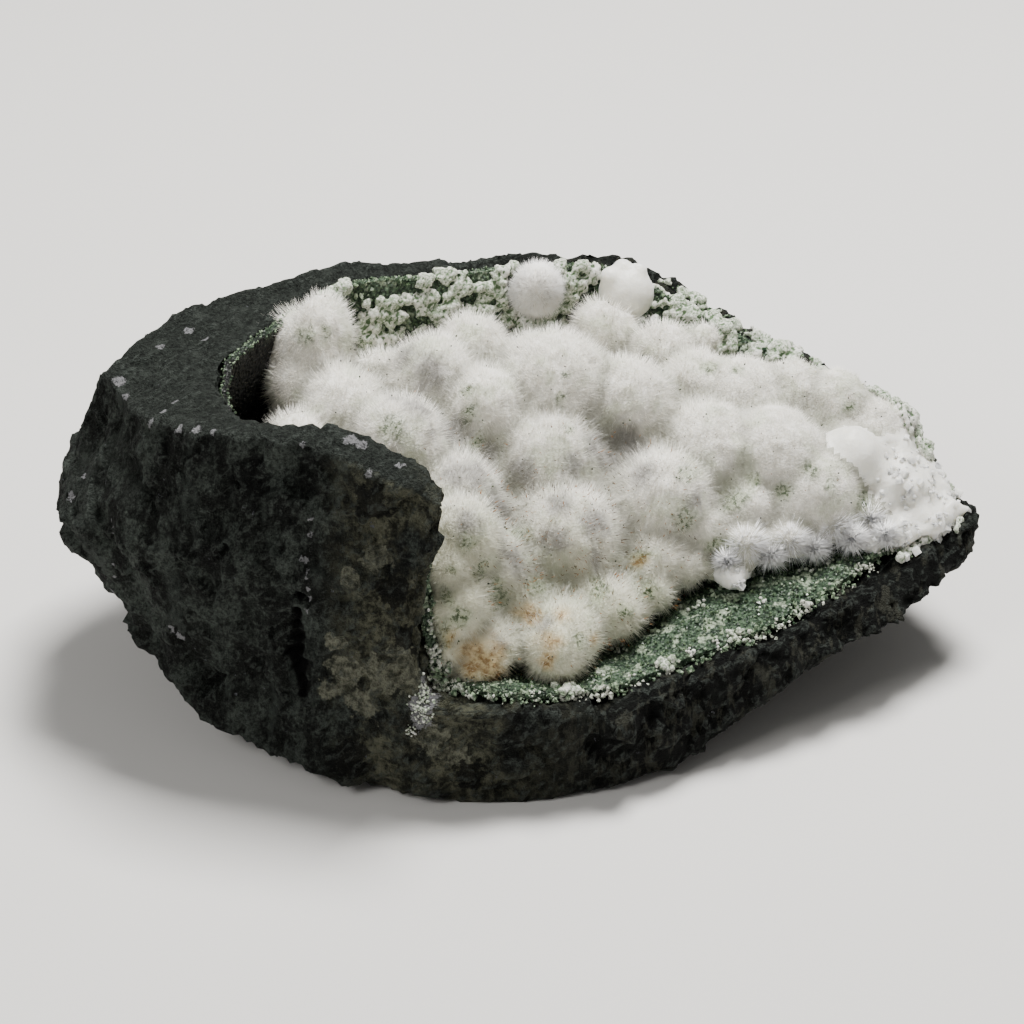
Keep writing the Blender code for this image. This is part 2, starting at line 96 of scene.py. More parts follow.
# Sizes of the small shapes in millimetres, and counts. A chip has a size, a depth and a seed.
ROCK_VOXEL = 1.08
ROCK_CHIPS = [(12, 1.8, 1), (5, 1.4, 2), (2.6, 0.7, 3)]
ROCK_SINK = 0.3
ROCK_RISE = 1.1
CREVICE_DEPTH = 2.6
CORE_VOXEL = 1.25
CORE_DEPTH = 1.4
CREASE_DEPTH = 0.35
HOLLOW_STEPS = 60
HOLLOW_DEPTHS = (-0.2, 1.6)
HAIR_FLOOR = 19
NEEDLES_PER_PIECE = 60000
FINE_NEEDLES = 144000
BEADS_PER_LUMP = 2
BEAD_VOXEL = 0.45
BORDER_CRYSTALS = 5500
BORDER_ANGLE = math.radians(60)
RIM_COVER = 4.6
SPRAY_NEEDLES = 1000
LONE_NEEDLES = 8000

# How many random places are tried for each kind of growth, before those that don't suit it are left out.
BORDER_PLACES = 900
RIM_PLACES = 80000
LUMP_PLACES = 40000
BEAD_PLACES = 26000
GRAIN_PLACES = 22000
SPECK_PLACES = 30000
BLOCK_PLACES = 60000

# Pixels of the photograph where the puffs are tinted, and where painted shade greys their recesses: x, y,
# radius in millimetres.
GREEN_TINTS = [
    (463, 390, 2.2), (470, 412, 2.6), (562, 398, 1.6), (567, 372, 1.2), (572, 425, 1.8), (640, 557, 2.2),
    (455, 572, 1.6), (486, 570, 2.4), (690, 470, 3), (785, 490, 2.2), (832, 484, 2.4), (712, 365, 2.2),
    (736, 366, 1.8), (392, 425, 4), (305, 335, 2.6), (420, 610, 2.6), (724, 405, 1.4), (630, 610, 2.6),
    (868, 500, 2.6), (755, 480, 1.6), (272, 318, 1.6), (283, 300, 1.6), (330, 330, 1.8),
    (500, 595, 3.5), (540, 585, 2.6), (600, 585, 3.2), (470, 545, 2.4),
    (690, 520, 3.2), (735, 500, 3), (650, 590, 2.8), (520, 530, 2.4), (440, 640, 3.4), (460, 620, 3),
    (810, 470, 2.4), (720, 545, 2.6), (850, 405, 1.6), (480, 440, 1.8), (445, 600, 2.2), (585, 640, 2.4),
]
# Painted shade: grey in the recesses between the left mass and the middle puffs.
RECESS_SHADE_TINTS = [
    (400, 352, 4.5), (430, 372, 6), (420, 400, 5), (452, 432, 6), (480, 468, 6), (500, 500, 5),
    (520, 470, 4), (600, 445, 5), (455, 470, 4), (520, 560, 5), (505, 640, 3.5), (600, 520, 5),
    (628, 440, 5), (578, 465, 3.6), (437, 430, 2.2), (492, 452, 2.2), (505, 505, 4.5), (560, 500, 4),
    (398, 392, 3.5), (700, 500, 3), (540, 620, 3), (600, 560, 3), (476, 480, 3), (555, 540, 4),
    (640, 470, 4), (470, 520, 4.5), (612, 455, 3),
]
RUST_TINTS = [
    (490, 662, 6), (478, 655, 4), (498, 682, 5), (548, 640, 3.6), (600, 640, 2), (470, 672, 3.4),
    (530, 612, 2.8), (563, 610, 2.4), (450, 640, 2.2), (545, 665, 2.6), (640, 560, 1.8),
]
# The same for the rock: white flakes and veins, cream patches, and painted shade: the black crevice and dark
# patches where the rock lies in shade.
WHITE_MARKS = [
    (188, 328, 1.3), (205, 337, 1.1), (160, 345, 1.1), (176, 404, 0.9), (163, 412, 1), (180, 428, 1.5),
    (150, 424, 1.4), (198, 430, 1.3), (212, 430, 1), (118, 380, 1.9), (124, 395, 1.3), (85, 475, 1.2),
    (102, 479, 0.9), (70, 496, 1.5), (110, 519, 0.7), (111, 535, 0.7), (112, 566, 0.7), (113, 578, 0.7),
    (113, 590, 0.7), (350, 440, 1.8), (362, 446, 1.5), (302, 444, 1.2), (400, 466, 0.9), (370, 474, 1.1),
    (302, 562, 1.3), (306, 575, 0.9), (308, 590, 0.7), (308, 610, 0.7), (178, 640, 1.2), (168, 630, 1),
    (312, 502, 0.7), (311, 520, 0.7), (310, 536, 0.6), (309, 550, 0.6), (308, 600, 0.7), (307, 620, 0.6),
    (112, 527, 0.6), (112, 545, 0.6), (112, 556, 0.6), (428, 690, 3.4), (421, 706, 3.2), (420, 722, 2.8),
]
# The crevice, cut into the rock and painted black as painted shade.
CREVICE = [
    (298, 598, 0.9), (297, 612, 1.1), (296, 626, 1.4), (295, 640, 1.8), (294, 654, 2), (296, 668, 2.1),
    (300, 682, 2), (304, 694, 1.6),
]
CREAM_MARKS = [
    (345, 668, 5), (380, 676, 6), (412, 682, 4.5), (330, 690, 3.5), (365, 705, 5), (400, 655, 4),
    (430, 742, 5), (455, 760, 4), (335, 640, 3), (375, 560, 4), (352, 580, 3), (420, 620, 3),
]
# Painted shade: near-black patches where the rock's faces lie in shade, under the overhang, in the notch at
# the bottom and low on the lip.
SHADE_MARKS = [
    (700, 690, 4), (735, 668, 3.6), (655, 712, 4), (600, 745, 5), (470, 780, 5), (350, 760, 6),
    (765, 650, 3), (390, 590, 5), (410, 640, 4), (370, 500, 5), (250, 480, 5), (215, 560, 5),
]
# Pixels of the photograph where small white lumps lie on the floor: x, y, spread, how many, size.
WHITE_LUMPS = [
    (675, 605, 2.2, 16, 0.5), (700, 605, 2, 14, 0.5), (735, 635, 2.4, 22, 0.6), (720, 645, 1.6, 12, 0.5),
    (690, 655, 1.2, 8, 0.5), (570, 690, 2.4, 26, 0.9), (585, 700, 1.6, 12, 0.6), (665, 665, 1.5, 14, 0.8),
    (721, 570, 1.4, 12, 0.8), (743, 566, 1.6, 16, 0.9), (742, 577, 1.4, 12, 0.8), (727, 580, 1.4, 10, 0.7),
    (752, 573, 1.3, 10, 0.7), (785, 563, 2, 12, 0.5), (808, 568, 2.2, 14, 0.45), (650, 590, 1.6, 10, 0.4),
    (620, 650, 1.6, 8, 0.4), (760, 600, 2, 8, 0.35), (830, 560, 2, 10, 0.4), (540, 702, 1.8, 12, 0.5),
    (520, 700, 1.8, 12, 0.5), (600, 675, 1.5, 8, 0.5), (440, 682, 1.2, 10, 0.6), (458, 690, 1.4, 10, 0.6),
    (433, 612, 1.6, 14, 0.45), (432, 632, 1.6, 16, 0.45), (434, 652, 1.8, 20, 0.5), (437, 668, 2, 22, 0.55),
]
# The same on the rock, at the lip's left corner.
WHITE_CRUST = [
    (437, 686, 2.2, 40, 0.36), (430, 674, 1.4, 24, 0.3), (425, 694, 2.2, 60, 0.32), (420, 706, 2.2, 60, 0.3),
    (424, 718, 1.8, 40, 0.28), (412, 731, 1.4, 24, 0.24), (448, 690, 2.2, 30, 0.34),
]


# Meshes

def node_mesh(name):
    """The triangles of a CAD node, joined where their corners meet, as a new mesh."""
    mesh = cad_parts[name].data.copy()
    shape = bmesh.new()
    shape.from_mesh(mesh)
    bmesh.ops.remove_doubles(shape, verts=shape.verts, dist=0.00001)
    shape.to_mesh(mesh)
    shape.free()
    mesh.materials.clear()
    return mesh


def new_object(name, data):
    made = bpy.data.objects.new(name, data)
    bpy.context.scene.collection.objects.link(made)
    return made


def add_piece(name, mesh, node, slot, *materials):
    piece = new_object(name, mesh)
    for material in materials:
        mesh.materials.append(material)
    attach(piece, "root")
    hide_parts(node)


def add_crust(name, mesh, material):
    add_piece(name, mesh, "druse_lining", "druse", material)


def add_fuzz(name, mesh, *materials):
    add_piece(name, mesh, "okenite_puffs", "okenite", *materials)


def mesh_from(name, points, faces, smooth=True):
    """A mesh from arrays of points in millimetres and of faces."""
    mesh = bpy.data.meshes.new(name)
    mesh.from_pydata((np.asarray(points) * MM).tolist(), [], np.asarray(faces).tolist())
    mesh.polygons.foreach_set("use_smooth", [smooth] * len(mesh.polygons))
    mesh.update()
    return mesh


def voxel_mesh(name, mesh, voxel, smoothing):
    """A closed mesh of even small faces over the same shape."""
    holder = new_object(name, mesh)
    remesh = holder.modifiers.new("Remesh", "REMESH")
    remesh.mode = "VOXEL"
    remesh.voxel_size = voxel * MM
    remesh.use_smooth_shade = True
    smooth = holder.modifiers.new("Smooth", "SMOOTH")
    smooth.iterations = smoothing
    graph = bpy.context.evaluated_depsgraph_get()
    made = bpy.data.meshes.new_from_object(holder.evaluated_get(graph), depsgraph=graph)
    bpy.data.objects.remove(holder)
    return made


def vertex_rows(mesh, name):
    rows = np.empty(len(mesh.vertices) * 3, dtype=np.float32)
    mesh.vertices.foreach_get(name, rows)
    return rows.reshape(-1, 3).astype(float)


def points_of(mesh):
    return vertex_rows(mesh, "co") / MM


def normals_of(mesh):
    return vertex_rows(mesh, "normal")


def set_points(mesh, points):
    mesh.vertices.foreach_set("co", (points * MM).astype(np.float32).ravel())
    mesh.update()


def set_values(mesh, name, values):
    """Keeps a number for each vertex, for the material to read."""
    layer = mesh.attributes.new(name, "FLOAT", "POINT")
    layer.data.foreach_set("value", np.asarray(values, dtype=np.float32))


def neighbour_sum(mesh, values):
    """For each vertex, the sum of the values of the vertices that an edge joins to it."""
    edges = np.empty(len(mesh.edges) * 2, dtype=np.int32)
    mesh.edges.foreach_get("vertices", edges)
    first, second = edges.reshape(-1, 2).T
    size = len(values)
    return np.bincount(first, values[second], size) + np.bincount(second, values[first], size)


def neighbour_mean(mesh, values, times):
    """The values of the vertices, averaged this many times with those next to them."""
    count = 1 + neighbour_sum(mesh, np.ones(len(values)))
    for _ in range(times):
        values = (values + neighbour_sum(mesh, values)) / count
    return values


def bulge(mesh, points, normals):
    """How far each vertex stands out from its neighbours, above 0 on edges."""
    total = np.stack([neighbour_sum(mesh, column) for column in points.T], axis=1)
    middle = total / neighbour_sum(mesh, np.ones(len(points)))[:, None]
    return np.sum((points - middle) * normals, axis=1)


def surface_samples(mesh, count, rng):
    """Even random places on a mesh, with the mesh's normal at each."""
    mesh.calc_loop_triangles()
    triangles = np.empty(len(mesh.loop_triangles) * 3, dtype=np.int32)
    mesh.loop_triangles.foreach_get("vertices", triangles)
    triangles = triangles.reshape(-1, 3)
    points = points_of(mesh)
    normals = normals_of(mesh)
    a, b, c = (points[triangles[:, k]] for k in range(3))
    areas = np.linalg.norm(np.cross(b - a, c - a), axis=1)
    picks = rng.choice(len(triangles), size=count, p=areas / areas.sum())
    u = rng.random(count)
    v = rng.random(count)
    flip = u + v > 1
    u[flip] = 1 - u[flip]
    v[flip] = 1 - v[flip]
    shares = np.stack([1 - u - v, u, v], axis=1)
    corners = triangles[picks]
    places = np.einsum("nk,nkc->nc", shares, points[corners])
    directions = np.einsum("nk,nkc->nc", shares, normals[corners])
    return places, unit(directions)


def unit(vectors):
    lengths = np.linalg.norm(vectors, axis=-1, keepdims=True)
    return vectors / np.maximum(lengths, 1e-9)


def side_axes(directions):
    """Two axes across each direction."""
    helper = np.where(np.abs(directions[:, 2:3]) < 0.9, [[0.0, 0.0, 1.0]], [[1.0, 0.0, 0.0]])
    first = unit(np.cross(directions, helper))
    return first, np.cross(directions, first)


def needles(name, roots, directions, lengths, radii, rng):
    """Long thin pyramids with a three-sided foot, one for each root."""
    first, second = side_axes(directions)
    turn = rng.random(len(roots)) * math.tau
    corners = []
    for step in range(3):
        angle = turn + step * math.tau / 3
        across = first * np.cos(angle)[:, None] + second * np.sin(angle)[:, None]
        corners.append(roots + across * radii[:, None])
    corners.append(roots + directions * lengths[:, None])
    points = np.stack(corners, axis=1).reshape(-1, 3)
    pattern = np.array([(0, 1, 3), (1, 2, 3), (2, 0, 3)])
    faces = (np.arange(len(roots))[:, None, None] * 4 + pattern).reshape(-1, 3)
    return mesh_from(name, points, faces)


def copies(name, shape, places, directions, sizes, rng, smooth=False):
    """One mesh of many copies of a small shape, each scaled and turned to its direction."""
    points, faces = shape
    scaled = points[None, :, :] * sizes[:, None, :]
    turned = np.einsum("nvk,nkc->nvc", scaled, frames_along(directions, rng))
    all_points = (turned + places[:, None, :]).reshape(-1, 3)
    offsets = (np.arange(len(places)) * len(points))[:, None, None]
    all_faces = (offsets + faces[None, :, :]).reshape(-1, faces.shape[1])
    return mesh_from(name, all_points, all_faces, smooth)


def frames_along(directions, rng):
    """For each direction, three axes: two across it, turned at random, and itself."""
    first, second = side_axes(directions)
    turn = rng.random(len(directions))[:, None] * math.tau
    across = first * np.cos(turn) + second * np.sin(turn)
    return np.stack([across, np.cross(directions, across), directions], axis=1)


def ball_shape(divisions):
    shape = bmesh.new()
    bmesh.ops.create_icosphere(shape, subdivisions=divisions, radius=1.0)
    points = np.array([v.co[:] for v in shape.verts])
    faces = np.array([[v.index for v in f.verts] for f in shape.faces])
    shape.free()
    return points, faces


def dome_shape():
    """A ball without its lowest faces, which lie in what it sits on."""
    points, faces = ball_shape(1)
    return points, faces[points[faces][:, :, 2].mean(axis=1) > -0.15]


def crystal_shape():
    """A short prism with a sloping end, as small crystals have."""
    points = [
        (-1, -1, -1), (1, -1, -1), (1, 1, -1), (-1, 1, -1),
        (-1, -1, 0.8), (1, -1, 1.2), (1, 1, 0.9), (-1, 1, 0.5),
    ]
    faces = [
        (4, 5, 6), (4, 6, 7), (0, 1, 5), (0, 5, 4), (1, 2, 6),
        (1, 6, 5), (2, 3, 7), (2, 7, 6), (3, 0, 4), (3, 4, 7),
    ]
    return np.array(points, dtype=float), np.array(faces)


def grain_shape():
    points = [(1, 0, 0), (0, 1, 0), (-1, 0, 0), (0, -1, 0), (0, 0, 1), (0, 0, -1)]
    faces = [(0, 1, 4), (1, 2, 4), (2, 3, 4), (3, 0, 4), (1, 0, 5), (2, 1, 5), (3, 2, 5), (0, 3, 5)]
    return np.array(points, dtype=float), np.array(faces)


def wobble(points, size, seed):
    """A smooth random number between about -1 and 1 for each point."""
    shift = Vector((13.7 * seed, 7.1, 3.3 * seed))
    return np.array([noise.noise(Vector(p) / size + shift) for p in points])


def wobbles(points, size, seed):
    return np.stack([wobble(points, size, seed + 5 * axis) for axis in range(3)], axis=1)


def chips(points, size, depth, seed):
    """Tilted flat facets, as stone breaks."""
    shift = Vector((5.3 * seed, 2.9 * seed, 8.1))
    shifts = [Vector((17.3 * axis, 5.1, 9.7 * axis)) for axis in range(3)]
    heights = []
    for point in points:
        place = Vector(point) / size + shift
        nearest = noise.voronoi(place)[1][0]
        tilt = Vector([noise.noise(nearest * 3.1 + other) for other in shifts])
        heights.append(depth * (1.6 * tilt.dot(place - nearest) + 0.5 * noise.noise(nearest * 2.3)))
    return np.array(heights)


def smooth_step(values, low, high):
    share = np.clip((values - low) / (high - low), 0, 1)
    return share * share * (3 - 2 * share)


# Where places lie among the balls

def ball_gaps(points, balls):
    """For each point, how far it lies outside its nearest ball, and which ball that is."""
    table = np.array(balls, dtype=float)
    gaps = np.linalg.norm(points[:, None, :] - table[None, :, :3], axis=2) - table[None, :, 3]
    nearest = gaps.argmin(axis=1)
    return gaps[np.arange(len(points)), nearest], nearest


def creases(points, balls):
    """Near 1 in the valley between two balls, and 0 on the open side of a ball."""
    table = np.array(balls, dtype=float)
    away = points[:, None, :] - table[None, :, :3]
    distances = np.linalg.norm(away, axis=2)
    gaps = distances - table[None, :, 3]
    order = np.argsort(gaps, axis=1)[:, :3]
    rows = np.arange(len(points))
    valley = np.zeros(len(points))
    first = order[:, 0]
    for rank in (1, 2):
        other = order[:, rank]
        apart = gaps[rows, other] - gaps[rows, first]
        toward = away[rows, first] / distances[rows, first][:, None]
        toward_other = away[rows, other] / distances[rows, other][:, None]
        spread = 1 - np.sum(toward * toward_other, axis=1)
        valley = np.maximum(valley, (1 - smooth_step(apart, 0, 2.2)) * smooth_step(spread, 0.25, 0.85))
    return valley


def hollows(mesh, points, normals):
    """Near 1 where the surface lies lower than the surface some millimetres around it."""
    smoothed = np.stack([neighbour_mean(mesh, column, HOLLOW_STEPS) for column in points.T], axis=1)
    return smooth_step(np.sum((smoothed - points) * normals, axis=1), *HOLLOW_DEPTHS)


def nearest_values(points, values, places):
    """For each place, the value of the nearest point."""
    tree = KDTree(len(points))
    for index, point in enumerate(points):
        tree.insert(point, index)
    tree.balance()
    return values[[tree.find(place)[1] for place in places]]


def ball_kind(ball):
    groups = {"glassy": GLASSY, "milky": MILKY + MILKY_FOOT, "beaded": RIM_LUMPS, "spray": SPRAYS}
    for kind, group in groups.items():
        if ball in group:
            return kind
    return "fuzzy"


def kinds_at(places, balls):
    """The kind of growth at each place, which is its nearest ball's."""
    return np.array([ball_kind(ball) for ball in balls])[ball_gaps(places, balls)[1]]


# Places seen in the photograph

def camera_axes():
    forward = Vector((0, math.cos(CAMERA_RISE), -math.sin(CAMERA_RISE)))
    up = Vector((0, math.sin(CAMERA_RISE), math.cos(CAMERA_RISE)))
    return forward, up


def seen_at(tree, x, y):
    """The place on a solid that shows at a pixel of the photograph, or None."""
    forward, up = camera_axes()
    start = CAMERA_TARGET - forward * CAMERA_DISTANCE
    middle = IMAGE_SIZE / 2
    ray = forward * (CAMERA_DISTANCE / PIXEL) + Vector((1, 0, 0)) * (x - middle) + up * (middle - y)
    place = tree.ray_cast(start * MM, ray.normalized())[0]
    return None if place is None else np.array(place) / MM


def tree_of(mesh):
    return BVHTree.FromPolygons([v.co for v in mesh.vertices], [p.vertices for p in mesh.polygons])


def tinted(points, tree, tints, seed):
    """Near 1 inside uneven patches round given places of the photograph, tinted ones and, for some tables,
    ones in painted shade.
    """
    strength = np.zeros(len(points))
    ragged = 0.45 * wobble(points, 2.2, seed) + 0.3 * wobble(points, 0.9, seed + 1)
    for x, y, radius in tints:
        seen = seen_at(tree, x, y)
        if seen is not None:
            reach = np.linalg.norm(points - seen, axis=1) / radius
            strength = np.maximum(strength, 1 - smooth_step(reach + ragged, 0.2, 1.25))
    return strength


# Material nodes

class Paint:
    """A material's node tree, with short ways to make the few nodes that are used here."""

    def __init__(self, name, roughness, specular=0.5):
        self.material = bpy.data.materials.new(name)
        self.material.use_nodes = True
        self.tree = self.material.node_tree
        self.shader = self.tree.nodes["Principled BSDF"]
        self.shader.inputs["Roughness"].default_value = roughness
        self.shader.inputs["Specular IOR Level"].default_value = specular
        self.place = self.tree.nodes.new("ShaderNodeTexCoord").outputs["Object"]

    def link(self, value, socket):
        if isinstance(value, (int, float)):
            socket.default_value = value
        elif isinstance(value, tuple):
            socket.default_value = (*value, 1.0) if len(socket.default_value) == 4 else value
        else:
            self.tree.links.new(value, socket)

    def node(self, kind, inputs):
        """A new node with these inputs, each a number, a colour or another node's output."""
        node = self.tree.nodes.new(kind)
        for name, value in inputs.items():
            self.link(value, node.inputs[name])
        return node

    def mapped(self, stretch):
        if stretch is None:
            return self.place
        return self.node("ShaderNodeMapping", {"Scale": stretch, "Vector": self.place}).outputs["Vector"]

    def noise(self, size, detail=4.0, roughness=0.55, stretch=None):
        """Smooth noise whose features are about this many millimetres across."""
        look = {"Scale": 1 / (size * MM), "Detail": detail, "Roughness": roughness}
        return self.node("ShaderNodeTexNoise", {**look, "Vector": self.mapped(stretch)}).outputs["Fac"]

    def cells(self, size):
        """Distance from the nearest of many scattered points."""
        inputs = {"Scale": 1 / (size * MM), "Vector": self.place}
        return self.node("ShaderNodeTexVoronoi", inputs).outputs["Distance"]

    def value(self, name):
        """A number kept on the mesh's vertices."""
        node = self.tree.nodes.new("ShaderNodeAttribute")
        node.attribute_name = name
        return node.outputs["Fac"]

    def math(self, operation, first, second=0.0, third=0.0):
        node = self.tree.nodes.new("ShaderNodeMath")
        node.operation = operation
        for value, socket in zip((first, second, third), node.inputs):
            self.link(value, socket)
        return node.outputs["Value"]

    def step(self, value, low, high):
        """Rises smoothly from 0 at low to 1 at high, or falls if high is lower."""
        ends = {"From Min": min(low, high), "From Max": max(low, high)}
        ends |= {"To Min": float(low > high), "To Max": float(low < high)}
        node = self.node("ShaderNodeMapRange", {"Value": value, **ends})
        node.interpolation_type = "SMOOTHSTEP"
        return node.outputs["Result"]

    def patches(self, size, low, high, detail=4.0, roughness=0.55, stretch=None):
        """Near 1 in patches of about this size, where noise rises from low to high."""
        return self.step(self.noise(size, detail, roughness, stretch), low, high)

    def both(self, first, second):
        return self.math("MULTIPLY", first, second)

    def ragged(self, name, size):
        """A mask kept on the mesh's vertices, with its edge torn by fine noise."""
        torn = self.math("MULTIPLY_ADD", self.noise(size, 5, 0.7), 1.6, -0.8)
        return self.step(self.math("ADD", self.value(name), torn), 0.42, 0.6)

    def axis(self, name):
        parts = self.node("ShaderNodeSeparateXYZ", {"Vector": self.place})
        return self.math("MULTIPLY", parts.outputs[name], 1 / MM)

    def mix(self, share, first, second):
        node = self.tree.nodes.new("ShaderNodeMix")
        node.data_type = "RGBA"
        self.link(share, node.inputs["Factor"])
        self.link(first, node.inputs["A"])
        self.link(second, node.inputs["B"])
        return node.outputs["Result"]

    def over(self, base, mask, share, colour):
        """The base with this share of a colour over it where the mask is near 1."""
        return self.mix(self.both(mask, share), base, colour)

    def bump(self, height, depth):
        """Relief of this depth in millimetres."""
        relief = self.node("ShaderNodeBump", {"Strength": 1, "Distance": depth * MM, "Height": height})
        self.link(relief.outputs["Normal"], self.shader.inputs["Normal"])

    def colour(self, value):
        self.link(value, self.shader.inputs["Base Color"])

    def glow_through(self, depth, weight=1.0):
        """Light scatters inside to about this many millimetres."""
        self.shader.inputs["Subsurface Weight"].default_value = weight
        self.shader.inputs["Subsurface Scale"].default_value = depth * MM
        self.shader.inputs["Subsurface Radius"].default_value = (1.0, 0.95, 0.85)


def basalt_material():
    paint = Paint("basalt", 0.82, 0.12)
    grain = paint.noise(0.8, 5, 0.75)
    blotches = paint.noise(6.5, 7, 0.72, (1.0, 1.0, 0.6))
    dark = paint.mix(paint.step(grain, 0.4, 0.72), (0.0025, 0.003, 0.0026), (0.02, 0.024, 0.02))
    lighter = paint.mix(paint.step(grain, 0.32, 0.7), (0.014, 0.018, 0.015), (0.09, 0.106, 0.092))
    base = paint.mix(paint.step(blotches, 0.47, 0.6), dark, lighter)
    streaks = paint.patches(6.0, 0.55, 0.68, 5, 0.65, (1.0, 1.0, 0.2))
    at_left = paint.step(paint.axis("X"), -28, -45)
    base = paint.over(base, paint.both(streaks, at_left), 0.7, (0.055, 0.066, 0.058))
    olive_spots = paint.patches(2.6, 0.4, 0.62, 7, 0.75)
    olive = paint.mix(olive_spots, (0.014, 0.015, 0.01), (0.13, 0.133, 0.092))
    olive_area = paint.both(paint.patches(14, 0.38, 0.52), paint.step(paint.axis("X"), -40, -27))
    olive_area = paint.both(olive_area, paint.step(paint.axis("X"), 30, -20))
    base = paint.over(base, olive_area, paint.step(paint.axis("Y"), -5, -25), olive)
    # Painted shade: the lip at the right is darkened nearly to black, with its own slanting streaks.
    right = paint.step(paint.axis("X"), -15, 25)
    slanting = paint.patches(4.5, 0.5, 0.6, 6, 0.7, (1.6, 1.0, 0.5))
    streaks_and_painted_shade = paint.mix(slanting, (0.0015, 0.0018, 0.0015), (0.042, 0.043, 0.033))
    base = paint.over(base, right, 0.9, streaks_and_painted_shade)
    cream_spots = paint.patches(1.8, 0.36, 0.64, 6, 0.75)
    cream = paint.mix(cream_spots, (0.03, 0.033, 0.024), (0.25, 0.255, 0.19))
    base = paint.over(base, paint.ragged("cream", 3.0), 0.8, cream)
    # Painted shade: near-black patches where the rock lies in shade.
    base = paint.over(base, paint.ragged("dark", 2.0), 0.85, (0.0025, 0.003, 0.0028))
    pale = paint.mix(paint.step(grain, 0.3, 0.7), (0.006, 0.0075, 0.0065), (0.036, 0.043, 0.037))
    pale = paint.mix(paint.patches(3.5, 0.52, 0.66, 5, 0.7), pale, (0.045, 0.053, 0.046))
    base = paint.mix(paint.value("broken_top"), base, pale)
    # Painted highlight: small bright glints, kept off the shaded lip.
    painted_glints = paint.patches(0.42, 0.58, 0.7, 2, 0.6)
    left = paint.math("SUBTRACT", 1.0, right)
    base = paint.over(base, paint.both(painted_glints, left), 0.3, (0.09, 0.1, 0.085))
    edge = paint.both(paint.step(paint.value("edge"), 0.05, 0.2), paint.step(grain, 0.38, 0.62))
    base = paint.over(base, edge, 0.6, (0.075, 0.088, 0.078))
    flakes = paint.patches(2.6, 0.66, 0.69, 5, 0.7)
    base = paint.over(base, flakes, paint.patches(14, 0.5, 0.58, 2), (0.13, 0.135, 0.15))
    white = paint.both(paint.ragged("white", 0.9), paint.step(grain, 0.36, 0.5))
    base = paint.mix(white, base, (0.26, 0.26, 0.27))
    # Painted shade: the crevice is painted black, as its depth lies in shade.
    base = paint.mix(paint.step(paint.value("crevice"), 0.15, 0.5), base, (0.001, 0.001, 0.001))
    paint.colour(base)
    lumps = paint.math("MULTIPLY", paint.noise(2.8, 5, 0.65), 1.8)
    paint.bump(paint.math("ADD", paint.math("ADD", grain, paint.noise(0.35, 3)), lumps), 1.1)
    return paint.material


def druse_material():
    paint = Paint("druse", 0.45, 0.4)
    green = paint.mix(paint.patches(0.7, 0.38, 0.66, 3), (0.006, 0.017, 0.008), (0.075, 0.12, 0.07))
    pale = paint.both(paint.patches(3.2, 0.56, 0.66), paint.step(paint.value("pocket"), 0.6, 0.2))
    base = paint.mix(pale, green, (0.3, 0.36, 0.26))
    # Painted shade: the crust in the pocket by the left wall is painted near black.
    base = paint.mix(paint.value("pocket"), base, (0.003, 0.004, 0.003))
    paint.colour(base)
    paint.bump(paint.cells(0.8), 0.7)
    return paint.material


def grain_material():
    paint = Paint("green crystals", 0.3, 0.5)
    green = paint.mix(paint.patches(0.8, 0.4, 0.64, 2), (0.012, 0.032, 0.015), (0.16, 0.23, 0.13))
    paint.colour(paint.mix(paint.patches(6, 0.52, 0.66), green, (0.36, 0.43, 0.31)))
    return paint.material


def border_material():
    """The thin pale line of crystals along the crust's broken border."""
    paint = Paint("border crystals", 0.5, 0.4)
    green = paint.mix(paint.patches(0.8, 0.4, 0.62, 3), (0.03, 0.06, 0.03), (0.26, 0.34, 0.22))
    white = paint.both(paint.patches(4, 0.5, 0.6), paint.step(paint.axis("Z"), 40, 28))
    paint.colour(paint.mix(white, green, (0.56, 0.57, 0.5)))
    return paint.material


def bead_material():
    paint = Paint("pale beads", 0.8, 0.2)
    base = paint.mix(paint.patches(0.6, 0.42, 0.6, 4, 0.75), (0.27, 0.34, 0.23), (0.78, 0.79, 0.71))
    base = paint.mix(paint.patches(5, 0.5, 0.66, 3), base, (0.8, 0.79, 0.74))
    paint.colour(paint.mix(paint.step(paint.value("edge"), 0.01, -0.07), base, (0.11, 0.17, 0.09)))
    paint.bump(paint.noise(0.4, 4, 0.7), 0.35)
    paint.glow_through(0.6, 0.2)
    return paint.material


def tinted_fuzz(paint, white, shadow):
    """White with painted shade in the valleys, the hollows, the recesses and low in front, and the green and
    rusty patches of the photograph.
    """
    base = paint.mix(paint.patches(2.2, 0.38, 0.68, 5, 0.65), shadow, white)
    # Painted shade: darker and greener low on the front of the puffs.
    base = paint.over(base, paint.value("low"), 0.7, (0.55, 0.55, 0.39))
    base = paint.over(base, paint.patches(8, 0.48, 0.66, 4, 0.6), 0.5, (0.5, 0.55, 0.39))
    # Painted shade: grey in the valleys between balls and in the hollows.
    base = paint.over(base, paint.value("crease_shade"), 0.7, (0.3, 0.3, 0.24))
    # Painted shade: grey where the puffs lie in recesses.
    base = paint.over(base, paint.value("grey"), 0.8, (0.24, 0.23, 0.215))
    base = paint.over(base, paint.value("green"), 0.5, (0.3, 0.37, 0.21))
    spots = paint.both(paint.value("green"), paint.patches(1.0, 0.47, 0.58, 4, 0.65))
    base = paint.over(base, spots, 0.9, (0.04, 0.07, 0.028))
    base = paint.over(base, paint.value("rust"), 0.6, (0.62, 0.43, 0.18))
    stain = paint.both(paint.step(paint.value("rust"), 0.45, 1.1), paint.patches(1.2, 0.4, 0.6))
    paint.colour(paint.over(base, stain, 0.85, (0.2, 0.1, 0.025)))


